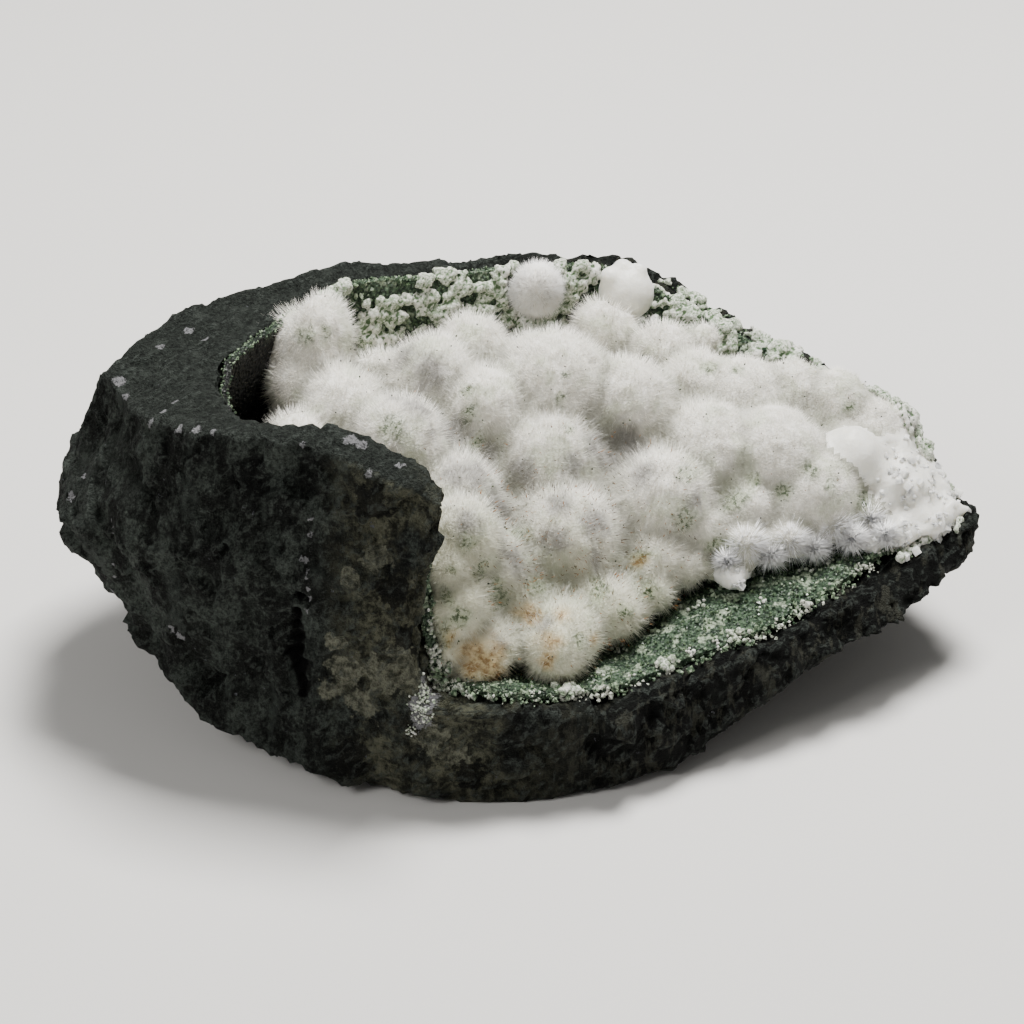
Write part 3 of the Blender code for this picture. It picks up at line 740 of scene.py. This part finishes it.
def fuzz_core_material():
    paint = Paint("fuzz core", 0.9, 0.2)
    tinted_fuzz(paint, (0.87, 0.845, 0.78), (0.66, 0.64, 0.57))
    paint.bump(paint.noise(0.5, 4), 0.5)
    paint.glow_through(1.5, 0.5)
    return paint.material


def lone_material(name, shadow, white):
    """The single ball is evenly white, a little cream."""
    paint = Paint(name, 0.6, 0.25)
    paint.colour(paint.mix(paint.patches(1.2, 0.38, 0.6), shadow, white))
    paint.glow_through(1.0, 0.4)
    return paint.material


def needle_material():
    paint = Paint("okenite needles", 0.6, 0.25)
    tinted_fuzz(paint, (0.985, 0.955, 0.875), (0.88, 0.845, 0.75))
    paint.glow_through(1.0, 0.2)
    return paint.material


def spray_material():
    paint = Paint("white sprays", 0.35, 0.5)
    paint.colour(paint.mix(paint.noise(1.5, 3), (0.93, 0.92, 0.89), (0.99, 0.985, 0.97)))
    paint.glow_through(1.5)
    return paint.material


def milky_material():
    paint = Paint("milky mineral", 0.4, 0.4)
    base = paint.mix(paint.noise(3, 4), (0.74, 0.73, 0.66), (0.93, 0.92, 0.87))
    paint.colour(base)
    paint.bump(paint.noise(1.3, 4), 0.25)
    paint.glow_through(2.5, 0.8)
    return paint.material


def speck_material(name, first, second):
    paint = Paint(name, 0.6, 0.3)
    paint.colour(paint.mix(paint.patches(2.5, 0.4, 0.6, 2), first, second))
    return paint.material


def floor_material():
    paint = Paint("floor", 0.8, 0.2)
    paint.colour(paint.mix(paint.noise(120, 2), (0.7, 0.69, 0.67), (0.74, 0.73, 0.71)))
    return paint.material


# Pieces

def make_rock():
    mesh = voxel_mesh("rock_work", node_mesh("basalt_matrix"), ROCK_VOXEL, 0)
    points = points_of(mesh)
    normals = normals_of(mesh)
    tree = tree_of(mesh)
    heights = sum(chips(points, *chip) for chip in ROCK_CHIPS) - ROCK_SINK
    heights *= np.clip((points[:, 2] - 0.6) / 2.0, 0, 1)
    top = broken_top(points, normals)
    crevice = tinted(points, tree, CREVICE, 24)
    heights = np.minimum(heights, ROCK_RISE) * (1 - 0.5 * top) - CREVICE_DEPTH * crevice
    moved = points + normals * heights[:, None]
    set_points(mesh, moved)
    set_values(mesh, "edge", bulge(mesh, moved, normals_of(mesh)))
    set_values(mesh, "broken_top", top)
    set_values(mesh, "crevice", crevice)
    tables = ("white", WHITE_MARKS, 21), ("dark", SHADE_MARKS, 22), ("cream", CREAM_MARKS, 26)
    for name, marks, seed in tables:
        set_values(mesh, name, tinted(points, tree, marks, seed))
    add_piece("basalt_rock", mesh, "basalt_matrix", "basalt", basalt_material())
    return mesh


def broken_top(points, normals):
    """Near 1 on the wall's broken upper faces, which are a paler green-grey."""
    high = smooth_step(points[:, 2], 42, 52)
    left = smooth_step(-points[:, 0], 10, 24)
    flat = smooth_step(normals[:, 2] + 0.12 * wobble(points, 6.0, 9), 0.42, 0.62)
    return flat * high * (0.3 + 0.7 * left)


def make_druse():
    mesh = node_mesh("druse_lining")
    shape = bmesh.new()
    shape.from_mesh(mesh)
    bmesh.ops.subdivide_edges(shape, edges=shape.edges, cuts=3, use_grid_fill=True)
    bmesh.ops.triangulate(shape, faces=shape.faces)
    shape.to_mesh(mesh)
    shape.free()
    points = points_of(mesh)
    normals = normals_of(mesh)
    heights = 0.35 * wobble(points, 2.2, 4) + 0.25 * wobble(points, 1.1, 5)
    set_points(mesh, points + normals * heights[:, None])
    mesh.polygons.foreach_set("use_smooth", [False] * len(mesh.polygons))
    set_values(mesh, "pocket", pocket_shade(points))
    add_crust("druse_crust", mesh, druse_material())
    return mesh


def pocket_shade(points):
    """Near 1 in the pocket between the left wall and the puffs, where the crust's colour is painted shade.
    """
    bearing = bearings(points)
    beside = smooth_step(bearing, 150, 168) * (1 - smooth_step(bearing, 225, 245))
    return beside * smooth_step(75.5 - points[:, 2] + 1.2 * wobble(points, 3.0, 17), 0.6, 2.4)


def open_druse(mesh, count, balls, rng):
    """Random places on the crust's face that no puff covers."""
    places, normals = surface_samples(mesh, count, rng)
    inward = unit(np.stack([-places[:, 0], -places[:, 1], np.full(len(places), 30.0)], axis=1))
    keep = (np.sum(normals * inward, axis=1) > 0.1) & (ball_gaps(places, balls)[0] > -0.6)
    return places[keep], normals[keep]


def bearings(places):
    return np.degrees(np.arctan2(places[:, 1], places[:, 0])) % 360


def clusters(places, normals, radii, rng):
    """Little beads over each larger one, which make it a lump like a small cauliflower."""
    each = BEADS_PER_LUMP
    along = np.repeat(normals, each, axis=0)
    spread = unit(along * 0.9 + rng.normal(size=along.shape))
    small = rng.uniform(0.3, 0.6, len(along)) * np.repeat(radii, each)
    around = np.repeat(places, each, axis=0) + spread * (np.repeat(radii, each) * 0.85)[:, None]
    outward = np.sum(spread * along, axis=1) > -0.35
    return around[outward], spread[outward], small[outward]


def rough_beads(name, shape, places, directions, radii, rng):
    sizes = np.stack([radii, radii, radii * rng.uniform(0.8, 1.15, len(places))], axis=1)
    beads = copies(name, shape, places, directions, sizes, rng, smooth=True)
    points = points_of(beads)
    set_points(beads, points + normals_of(beads) * (0.2 * wobble(points, 0.7, 43))[:, None])
    return beads


def beaded_lumps(core, balls, rng):
    """Random places on the lumps of the rim, which beads and green crystals cover."""
    places, normals = surface_samples(core, LUMP_PLACES, rng)
    beaded = kinds_at(places, balls) == "beaded"
    return places[beaded], normals[beaded]


def make_beads(mesh, extra, balls, rng):
    """Pale beads grown together on the walls of the hollow, and over the extra places given."""
    places, normals = open_druse(mesh, BEAD_PLACES, balls, rng)
    cover = wobble(places, 7.0, 41) + 0.4 * wobble(places, 3.0, 42)
    bearing = bearings(places)
    wall = (bearing > 8) & (bearing < 168) & (places[:, 2] > 36)
    keep = wall & (cover > -0.3)
    few = (wobble(extra[0], 4.5, 44) > -0.4) & (rng.random(len(extra[0])) < 0.42)
    places = np.concatenate([places[keep], extra[0][few]])
    normals = np.concatenate([normals[keep], extra[1][few]])
    radii = np.clip(rng.gamma(6.0, 0.14, len(places)), 0.4, 1.5)
    around, directions, small = clusters(places, normals, radii, rng)
    everywhere = np.concatenate([places + normals * radii[:, None] * 0.15, around])
    outward = np.concatenate([normals, directions])
    beads = rough_beads("beads", ball_shape(2), everywhere, outward, np.concatenate([radii, small]), rng)
    crust = voxel_mesh("bead_work", beads, BEAD_VOXEL, 0)
    points = points_of(crust)
    rough = 0.3 * wobble(points, 1.0, 46) + 0.24 * wobble(points, 0.6, 47)
    moved = points + normals_of(crust) * rough[:, None]
    set_points(crust, moved)
    set_values(crust, "edge", bulge(crust, moved, normals_of(crust)))
    add_crust("pale_beads", crust, bead_material())


def open_rim(rock, crust, rng):
    """Random places on the rock's rim at the right, where the crust grew over its edge."""
    places, normals = surface_samples(rock, RIM_PLACES, rng)
    bearing = bearings(places)
    right = (bearing < 60) | (bearing > 352)
    upper = (normals[:, 2] > 0.42) & (places[:, 2] > 27)
    places, normals = places[right & upper], normals[right & upper]
    border = border_samples(BORDER_PLACES, rng)
    apart = np.linalg.norm(places[:, None, :] - border[None, :, :], axis=2).min(axis=1)
    near = apart < RIM_COVER + 1.8 * wobble(places, 4.0, 45)
    places, normals = places[near], normals[near]
    tree = tree_of(crust)
    up = Vector((0, 0, 1))
    free = np.array([tree.ray_cast(Vector(p) * MM, up, 0.02)[0] is None for p in places])
    return places[free], normals[free]


def border_samples(count, rng):
    """Random places along the crust's broken border, where two of its faces meet at a sharp edge."""
    shape = bmesh.new()
    shape.from_mesh(node_mesh("druse_lining"))
    ends = [[v.co[:] for v in e.verts] for e in shape.edges if e.calc_face_angle(0) > BORDER_ANGLE]
    shape.free()
    ends = np.array(ends) / MM
    lengths = np.linalg.norm(ends[:, 1] - ends[:, 0], axis=1)
    picks = rng.choice(len(ends), size=count, p=lengths / lengths.sum())
    share = rng.random((count, 1))
    return ends[picks, 0] * (1 - share) + ends[picks, 1] * share


def make_border(rng):
    """Small crystals that cover the crust's border and the seam between it and the rock."""
    places = border_samples(BORDER_CRYSTALS, rng)
    low = places[:, 2] < 30
    thick = 0.5 + 0.5 * wobble(places, 5.0, 61)
    spread = np.where(low, 0.4 + 1.1 * thick, 0.25)
    places = places + rng.normal(size=places.shape) * spread[:, None] * np.array([1, 1, 0.4])
    directions = unit(rng.normal(size=places.shape) + np.array([0, 0, 0.8]))
    radii = np.clip(rng.gamma(4.0, 0.06, len(places)), 0.1, 0.6) * np.where(low, 1.2 + 0.9 * thick, 0.75)
    sizes = np.stack([radii, radii * rng.uniform(0.7, 1.1, len(radii)), radii * 1.2], axis=1)
    crystals = copies("border", grain_shape(), places, directions, sizes, rng)
    add_crust("border_crystals", crystals, border_material())


def make_grains(mesh, extra, balls, rng):
    """Small green crystals on the open floor, between the beads and over the extra places given."""
    places, normals = open_druse(mesh, GRAIN_PLACES, balls, rng)
    bearing = bearings(places)
    in_pocket = (bearing > 160) & (bearing < 250)
    places = np.concatenate([places[~in_pocket], extra[0]])
    normals = np.concatenate([normals[~in_pocket], extra[1]])
    leaning = unit(normals + rng.normal(size=normals.shape) * 0.5)
    radii = np.clip(rng.gamma(4.0, 0.075, len(places)), 0.12, 0.6)
    sizes = np.stack([radii, radii, radii * rng.uniform(1.0, 1.8, len(places))], axis=1)
    raised = places + normals * 0.14
    grains = copies("grains", grain_shape(), raised, leaning, sizes, rng)
    add_crust("green_crystals", grains, grain_material())


def make_white_lumps(crust, rock, rng):
    places = []
    radii = []
    for mesh, table in ((crust, WHITE_LUMPS), (rock, WHITE_CRUST)):
        tree = tree_of(mesh)
        for x, y, spread, count, size in table:
            seen = seen_at(tree, x, y)
            if seen is None:
                continue
            for scatter in rng.normal(size=(count, 3)) * spread * 0.5:
                found = tree.find_nearest(Vector((seen + scatter) * MM))[0]
                places.append(np.array(found) / MM)
                radii.append(size * rng.uniform(0.6, 1.2))
    places = np.array(places)
    radii = np.array(radii)
    normals = unit(rng.normal(size=places.shape) * 0.4 + np.array([0, -0.2, 1.0]))
    lumps = rough_beads("lumps", dome_shape(), places + normals * radii[:, None] * 0.4, normals, radii, rng)
    add_crust("white_lumps", lumps, bead_material())


def with_balls(mesh, balls):
    """The mesh with more balls in it, still apart from it until a remesh joins them."""
    shape = bmesh.new()
    shape.from_mesh(mesh)
    for x, y, z, radius in balls:
        made = bmesh.ops.create_icosphere(shape, subdivisions=3, radius=radius * MM)
        bmesh.ops.translate(shape, verts=made["verts"], vec=Vector((x, y, z)) * MM)
    shape.to_mesh(mesh)
    shape.free()
    return mesh


def hair_share(places):
    """How long the hair is there: the puffs at the right have short fuzz."""
    return 1 - 0.45 * smooth_step(places[:, 0], 28, 50)


def make_core(balls, material, milky):
    """The white body under the hair, and the smooth and milky growths, which have no hair."""
    mesh = with_balls(node_mesh("okenite_puffs"), FLUFF + RIM_LUMPS + MILKY_FOOT)
    mesh = voxel_mesh("core_work", mesh, CORE_VOXEL, 4)
    points = points_of(mesh)
    normals = normals_of(mesh)
    kinds = kinds_at(points, balls)
    valleys = creases(points, balls)
    depth = np.where(kinds == "spray", 1.8, CORE_DEPTH * hair_share(points)) + CREASE_DEPTH * valleys
    lumps = 0.45 * wobble(points, 3.2, 6) + 0.3 * wobble(points, 1.5, 7)
    rough = chips(points, 3.4, 1.0, 4) + chips(points, 1.9, 0.5, 5) - 0.35
    bare = (kinds == "milky") | (kinds == "beaded")
    body = np.where(kinds == "glassy", 0.0, np.where(bare, -0.1, -depth))
    relief = np.where(kinds == "glassy", 0.0, np.where(bare, rough, lumps))
    moves = neighbour_mean(mesh, body, 3) + relief
    tree = tree_of(mesh)
    shade = np.maximum(valleys, hollows(mesh, points, normals))
    set_points(mesh, points + normals * moves[:, None])
    set_tints_and_shade(mesh, points, shade, tree)
    add_fuzz("puff_cores", mesh, material, milky)
    face_kinds = kinds_at(np.array([p.center for p in mesh.polygons]) / MM, balls)
    mesh.polygons.foreach_set("material_index", [kind not in ("fuzzy", "spray") for kind in face_kinds])
    return mesh, tree, shade


def set_tints_and_shade(mesh, points, shade, tree, repeat=1):
    """Keeps the tints and the painted shade of each place on the mesh, each repeated for the vertices grown
    from it.
    """
    # Painted shade low on the front and in the valleys, with the tints of the tables.
    painted_shade_low_in_front = smooth_step(-points[:, 1] - 0.5 * (points[:, 2] - 40), 8, 42)
    tints = {"crease_shade": shade, "low": painted_shade_low_in_front}
    tables = ("green", GREEN_TINTS, 23), ("grey", RECESS_SHADE_TINTS, 25), ("rust", RUST_TINTS, 27)
    for name, marks, seed in tables:
        tints[name] = tinted(points, tree, marks, seed)
    for name, values in tints.items():
        set_values(mesh, name, np.repeat(values, repeat))


def hair_directions(places, normals, centres, rng):
    """Hair stands away from its ball's centre, with locks that lean together."""
    away = unit(places - centres)
    facing = np.sum(away * normals, axis=1, keepdims=True)
    away = np.where(facing > 0.15, away, normals)
    locks = wobbles(places, 1.6, 11)
    swirls = wobbles(places, 8.0, 31)
    jitter = rng.normal(size=places.shape)
    return unit(0.5 * normals + 0.7 * away + 0.27 * locks + 0.22 * swirls + 0.18 * jitter)


def make_hair(core, tree, core_shade, balls, rng, material):
    places, normals = surface_samples(core, FINE_NEEDLES, rng)
    keep = (kinds_at(places, balls) == "fuzzy") & (places[:, 2] > HAIR_FLOOR)
    places, normals = places[keep], normals[keep]
    centres = np.array(balls, dtype=float)[ball_gaps(places, balls)[1], :3]
    directions = hair_directions(places, normals, centres, rng)
    lengths = np.clip(rng.gamma(9.0, 0.22, len(places)), 0.8, 3.4)
    lengths *= (1 - 0.25 * creases(places, balls)) * hair_share(places)
    radii = rng.uniform(0.035, 0.07, len(places))
    roots = places - normals * 0.15
    shade = nearest_values(points_of(core), core_shade, places)
    for number, start in enumerate(range(0, len(roots), NEEDLES_PER_PIECE)):
        part = slice(start, start + NEEDLES_PER_PIECE)
        mesh = needles("hair", roots[part], directions[part], lengths[part], radii[part], rng)
        set_tints_and_shade(mesh, places[part], shade[part], tree, 4)
        add_fuzz(f"puff_hair_{number + 1}", mesh, material)


def make_specks(core, balls, rng):
    """Rusty needles low in the middle, and tiny dark grains all over."""
    places, normals = surface_samples(core, SPECK_PLACES, rng)
    open_side = (creases(places, balls) < 0.3) & (kinds_at(places, balls) == "fuzzy")
    share = hair_share(places)
    away = np.linalg.norm((places - np.array([10, -26, 38])) / np.array([30, 18, 16]), axis=1)
    rusty = open_side & (rng.random(len(places)) < 0.6 * np.exp(-away ** 2))
    directions = unit(normals[rusty] + rng.normal(size=normals[rusty].shape) * 0.35)
    roots = places[rusty] + directions * (share[rusty] * rng.uniform(1.3, 2.1, rusty.sum()))[:, None]
    lengths = rng.uniform(0.6, 1.4, len(roots)) * share[rusty]
    mesh = needles("rusty", roots, directions, lengths, rng.uniform(0.07, 0.13, len(roots)), rng)
    rusty_brown = speck_material("rusty needles", (0.32, 0.14, 0.035), (0.06, 0.045, 0.02))
    add_fuzz("rusty_needles", mesh, rusty_brown)
    dark = open_side & (rng.random(len(places)) < 0.03)
    radii = rng.uniform(0.1, 0.24, dark.sum())
    sizes = np.stack([radii, radii, radii * 1.5], axis=1)
    spots = places[dark] + normals[dark] * (share[dark] * rng.uniform(1.2, 2.0, dark.sum()))[:, None]
    grains = copies("specks", grain_shape(), spots, normals[dark], sizes, rng)
    add_fuzz("dark_specks", grains, speck_material("dark specks", (0.03, 0.035, 0.025), (0.06, 0.08, 0.04)))


def make_sprays(rng, material):
    """Coarse white needles that fan out of a few centres low on the right."""
    roots = []
    directions = []
    lengths = []
    for x, y, z, radius in SPRAYS + LOW_SPRAYS:
        spread = rng.normal(size=(SPRAY_NEEDLES, 3)) * np.array([1.4, 1.0, 0.8])
        outward = unit(spread + np.array([0.1, -0.9, 0.6]))
        roots.append(np.array([x, y, z]) + outward * radius * 0.35)
        directions.append(outward)
        lengths.append(rng.uniform(0.35, 0.85, len(outward)) * radius)
    roots = np.concatenate(roots)
    radii = rng.uniform(0.08, 0.18, len(roots))
    mesh = needles("spray", roots, np.concatenate(directions), np.concatenate(lengths), radii, rng)
    add_fuzz("needle_sprays", mesh, material)


def make_blocks(core, rim, balls, rng, material):
    """Small blocky crystals on the milky right end and on the rock's tip."""
    places, normals = surface_samples(core, BLOCK_PLACES, rng)
    milky = kinds_at(places, balls) == "milky"
    thick = 0.5 + 0.5 * wobble(places, 4.0, 51)
    keep = milky & (rng.random(len(places)) < 0.28 * smooth_step(thick, 0.35, 0.75))
    on_rim, rim_normals = rim
    near_tip = rng.random(len(on_rim)) < 0.9 * smooth_step(on_rim[:, 0], 74, 86)
    places = np.concatenate([places[keep], on_rim[near_tip]])
    normals = np.concatenate([normals[keep], rim_normals[near_tip]])
    radii = np.clip(rng.gamma(5.0, 0.07, len(places)), 0.15, 0.8)
    sizes = np.stack([radii, radii * rng.uniform(0.7, 1.2, len(radii)), radii * 1.2], axis=1)
    leaning = unit(normals + rng.normal(size=normals.shape) * 0.4)
    blocks = copies("blocks", crystal_shape(), places, leaning, sizes, rng)
    add_piece("milky_crystals", blocks, "okenite_puffs", "smooth_mineral", material)


def make_lone_puff(rng):
    mesh = voxel_mesh("lone_work", node_mesh("lone_puff"), 0.6, 2)
    set_points(mesh, points_of(mesh) - normals_of(mesh) * 1.7)
    body = lone_material("lone ball", (0.66, 0.64, 0.58), (0.82, 0.8, 0.74))
    add_piece("lone_puff_core", mesh, "lone_puff", "okenite", body)
    places, normals = surface_samples(mesh, LONE_NEEDLES, rng)
    directions = hair_directions(places, normals, np.array([LONE_PUFF[:3]], dtype=float), rng)
    lengths = np.clip(rng.gamma(9.0, 0.2, len(places)), 0.8, 2.6)
    radii = rng.uniform(0.04, 0.08, len(places))
    hair = needles("lone_hair", places - normals * 0.1, directions, lengths, radii, rng)
    white = lone_material("lone ball hair", (0.93, 0.9, 0.84), (0.99, 0.975, 0.94))
    add_piece("lone_puff_hair", hair, "lone_puff", "okenite", white)


def make_smooth_ball(material):
    mesh = voxel_mesh("smooth_work", node_mesh("smooth_ball"), 0.5, 4)
    add_piece("smooth_mineral_ball", mesh, "smooth_ball", "smooth_mineral", material)


# Studio

def aim(name, data, place, direction):
    """A light or a camera at a place, turned to look in a direction."""
    holder = new_object(name, data)
    holder.location = place
    holder.rotation_mode = "QUATERNION"
    holder.rotation_quaternion = direction.to_track_quat("-Z", "Y")
    return holder


def add_light(name, place, size, power, colour):
    light = bpy.data.lights.new(name, "AREA")
    light.size = size
    light.energy = power
    light.color = colour
    aim(name, light, place, Vector((0, 0, 0.03)) - Vector(place))


def make_studio():
    points = [(-3000, -3000, 0), (3000, -3000, 0), (3000, 3000, 0), (-3000, 3000, 0)]
    mesh = mesh_from("floor", points, [(0, 1, 2, 3)], smooth=False)
    floor = new_object("floor", mesh)
    mesh.materials.append(floor_material())
    world = bpy.data.worlds.new("studio")
    bpy.context.scene.world = world
    world.use_nodes = True
    sky = world.node_tree.nodes["Background"].inputs
    sky["Color"].default_value = (1.0, 0.985, 0.96, 1.0)
    sky["Strength"].default_value = 0.22
    add_light("key", (0.12, 0.22, 0.85), 0.3, 19.0, (1.0, 0.985, 0.96))
    add_light("fill", (-0.5, -0.5, 0.62), 0.3, 3.0, (1.0, 0.99, 0.97))


def make_camera():
    forward = camera_axes()[0]
    camera = bpy.data.cameras.new("camera")
    camera.sensor_width = SENSOR
    camera.lens = SENSOR * CAMERA_DISTANCE / PIXEL / IMAGE_SIZE
    camera.clip_start = 0.01
    camera.clip_end = 20
    place = (CAMERA_TARGET - forward * CAMERA_DISTANCE) * MM
    bpy.context.scene.camera = aim("camera", camera, place, forward)


def main():
    rng = np.random.default_rng(SEED)
    make_studio()
    make_camera()
    balls = PUFFS + FLUFF + GLASSY + MILKY + MILKY_FOOT + RIM_LUMPS + SPRAYS
    rock = make_rock()
    crust = make_druse()
    fuzz = fuzz_core_material()
    hair = needle_material()
    milky = milky_material()
    core, tree, shade = make_core(balls, fuzz, milky)
    rim = open_rim(rock, crust, rng)
    covered = [rim, beaded_lumps(core, balls, rng)]
    extra = [np.concatenate(pair) for pair in zip(*covered)]
    make_beads(crust, extra, balls + [LONE_PUFF], rng)
    make_grains(crust, extra, balls, rng)
    make_border(rng)
    make_white_lumps(crust, rock, rng)
    make_hair(core, tree, shade, balls, rng, hair)
    make_specks(core, balls, rng)
    make_sprays(rng, spray_material())
    make_blocks(core, rim, balls, rng, milky)
    make_lone_puff(rng)
    make_smooth_ball(milky)


main()
